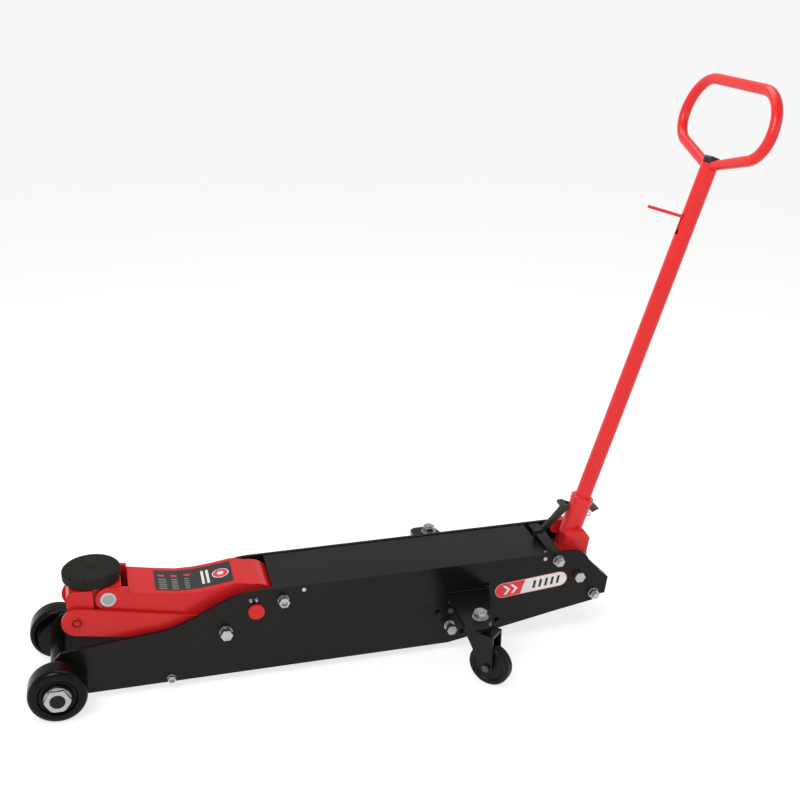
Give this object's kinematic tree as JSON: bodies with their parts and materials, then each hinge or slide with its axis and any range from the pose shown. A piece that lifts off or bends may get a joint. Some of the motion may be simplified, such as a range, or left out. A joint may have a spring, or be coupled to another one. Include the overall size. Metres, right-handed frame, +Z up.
{
  "type": "trolley jack",
  "caption": "Long-chassis hydraulic trolley jack with a parallel-motion lift arm, padded saddle, front wheels, outrigger casters and a tilting pump handle with a ring grip.",
  "frame": {"origin": "on the floor, at the middle of the bottom of the bounding box of the whole jack", "axes": "+X from the saddle end towards the handle end, +Y across the frame, +Z up"},
  "size_m": [1.7974, 0.6072, 1.4327],
  "materials": {
    "black_paint": "satin powder coat",
    "red_paint": "gloss paint",
    "zinc": "bright zinc plate",
    "dark_zinc": "black oxide",
    "wheel_iron": "black enamel on cast iron",
    "caster_tyre": "matte nylon",
    "saddle_iron": "black",
    "pad_rubber": "matte",
    "unit_paint": "satin",
    "ground_steel": "ground",
    "bronze": "machined",
    "black_plastic": "gloss"
  },
  "bodies": {
    "frame": {"side_plate_left": "black_paint", "side_plate_right": "black_paint", "top_cover": "black_paint", "rear_strip": "black_paint", "tail_guard": "black_paint", "cross_bolts": "zinc", "cross_bolt_nuts": "zinc", "frame_side_bolts": "zinc", "cover_screws": "zinc", "lift_shaft": "red_paint", "grease_nipples": "zinc", "link_bolts": "zinc", "front_axle": "black_paint", "front_axle_spacers": "black_paint", "front_axle_nuts": "zinc", "caster_bracket_left": "black_paint", "caster_bracket_right": "black_paint", "bracket_bolts": "dark_zinc", "kingpins": "zinc", "kingpin_nuts": "zinc", "caster_bearings": "black_paint", "ram_cylinder": "black_paint", "oil_tank": "unit_paint", "pump_block": "unit_paint", "yoke_bolt": "zinc", "yoke_spacers": "unit_paint"},
    "lift_arm": {"arm_cheek_left": "red_paint", "arm_cheek_right": "red_paint", "arm_top_plate": "red_paint", "arm_pivot_tube": "red_paint", "lift_bushes": "bronze", "crank_pin": "ground_steel", "crank_roller": "bronze", "arm_pin": "zinc", "arm_pin_washers": "zinc"},
    "bracket": {"saddle_bracket": "red_paint"},
    "link": {"lower_link": "red_paint", "link_pins": "red_paint"},
    "saddle": {"saddle_plate": "saddle_iron", "saddle_pad": "pad_rubber"},
    "wheel_left": {"front_wheel_left": "wheel_iron", "wheel_bush_left": "bronze"},
    "wheel_right": {"front_wheel_right": "wheel_iron", "wheel_bush_right": "bronze"},
    "fork_left": {"caster_fork_left": "black_paint", "caster_axle_left": "dark_zinc"},
    "fork_right": {"caster_fork_right": "black_paint", "caster_axle_right": "dark_zinc"},
    "caster_left": {"caster_wheel_left": "caster_tyre"},
    "caster_right": {"caster_wheel_right": "caster_tyre"},
    "ram_body": {"ram": "ground_steel"},
    "plunger": {"pump_plunger": "ground_steel"},
    "valve": {"valve_stem": "ground_steel"},
    "handle": {"handle_yoke": "red_paint", "pump_roller": "ground_steel", "handle_tube": "red_paint", "grip_loop": "red_paint"},
    "release": {"release_knob": "black_plastic"},
    "lever": {"lock_lever": "red_paint"},
    "pawl": {"lock_pawl": "black_plastic"}
  },
  "joints": [
    {"name": "lift_arm_swing", "type": "hinge", "parent": "frame", "child": "lift_arm", "pos_m": [-0.34442, 0, 0.192], "axis": [0, 1, 0], "range_deg": [-24.5, 48]},
    {"name": "saddle_bracket_swing", "type": "hinge", "parent": "lift_arm", "child": "bracket", "pos_m": [-0.69423, 0, 0.2581], "axis": [0, 1, 0], "range_deg": [-48, 24.5]},
    {"name": "lower_link_swing", "type": "hinge", "parent": "frame", "child": "link", "pos_m": [-0.42142, 0, 0.144], "axis": [0, 1, 0], "range_deg": [-24.5, 48]},
    {"name": "saddle_turn", "type": "hinge", "parent": "bracket", "child": "saddle", "pos_m": [-0.72923, 0, 0.2971], "axis": [0, 0, 1], "continuous": true},
    {"name": "ram_travel", "type": "slide", "parent": "frame", "child": "ram_body", "axis": [-1, 0, 0], "range_m": [-0.03189, 0.06247]},
    {"name": "front_wheel_left_spin", "type": "hinge", "parent": "frame", "child": "wheel_left", "pos_m": [-0.82872, -0.14, 0.07], "axis": [0, 1, 0], "continuous": true},
    {"name": "front_wheel_right_spin", "type": "hinge", "parent": "frame", "child": "wheel_right", "pos_m": [-0.82872, 0.14, 0.07], "axis": [0, 1, 0], "continuous": true},
    {"name": "caster_left_swivel", "type": "hinge", "parent": "frame", "child": "fork_left", "pos_m": [0.19158, -0.232, 0.15], "axis": [0, 0, 1], "continuous": true},
    {"name": "caster_right_swivel", "type": "hinge", "parent": "frame", "child": "fork_right", "pos_m": [0.19158, 0.232, 0.15], "axis": [0, 0, 1], "continuous": true},
    {"name": "caster_left_spin", "type": "hinge", "parent": "fork_left", "child": "caster_left", "pos_m": [0.21519, -0.25646, 0.055], "axis": [0.7193, 0.6947, 0], "continuous": true},
    {"name": "caster_right_spin", "type": "hinge", "parent": "fork_right", "child": "caster_right", "pos_m": [0.21519, 0.25646, 0.055], "axis": [-0.7193, 0.6947, 0], "continuous": true},
    {"name": "handle_swing", "type": "hinge", "parent": "frame", "child": "handle", "pos_m": [0.51108, 0, 0.173], "axis": [0, 1, 0], "range_deg": [0, 52]},
    {"name": "pump_plunger_travel", "type": "slide", "parent": "frame", "child": "plunger", "axis": [-1, 0, 0], "range_m": [0, 0.03922]},
    {"name": "release_knob_turn", "type": "hinge", "parent": "handle", "child": "release", "pos_m": [0.82598, 0, 1.23129], "axis": [0.3007, 0, 0.9537], "range_deg": [0, 120]},
    {"name": "valve_stem_turn", "type": "hinge", "parent": "frame", "child": "valve", "pos_m": [0.42558, 0, 0.196], "axis": [1, 0, 0], "range_deg": [0, 120]},
    {"name": "lock_lever_slide", "type": "slide", "parent": "handle", "child": "lever", "axis": [0.3007, 0, 0.9537], "range_m": [-0.04, 0]},
    {"name": "lock_pawl_turn", "type": "hinge", "parent": "handle", "child": "pawl", "pos_m": [0.5361, 0, 0.3119], "axis": [0, 1, 0], "range_deg": [-7, 0]}
  ],
  "couplings": [
    {"joint": "saddle_bracket_swing", "follows": "lift_arm_swing", "ratio": -1},
    {"joint": "lower_link_swing", "follows": "lift_arm_swing", "ratio": 1},
    {"joint": "ram_travel", "follows": "lift_arm_swing", "m_per_rad": 0.07456},
    {"joint": "pump_plunger_travel", "follows": "handle_swing", "m_per_rad": 0.0432},
    {"joint": "valve_stem_turn", "follows": "release_knob_turn", "ratio": 1},
    {"joint": "lock_pawl_turn", "follows": "lock_lever_slide", "rad_per_m": 3.054}
  ]
}
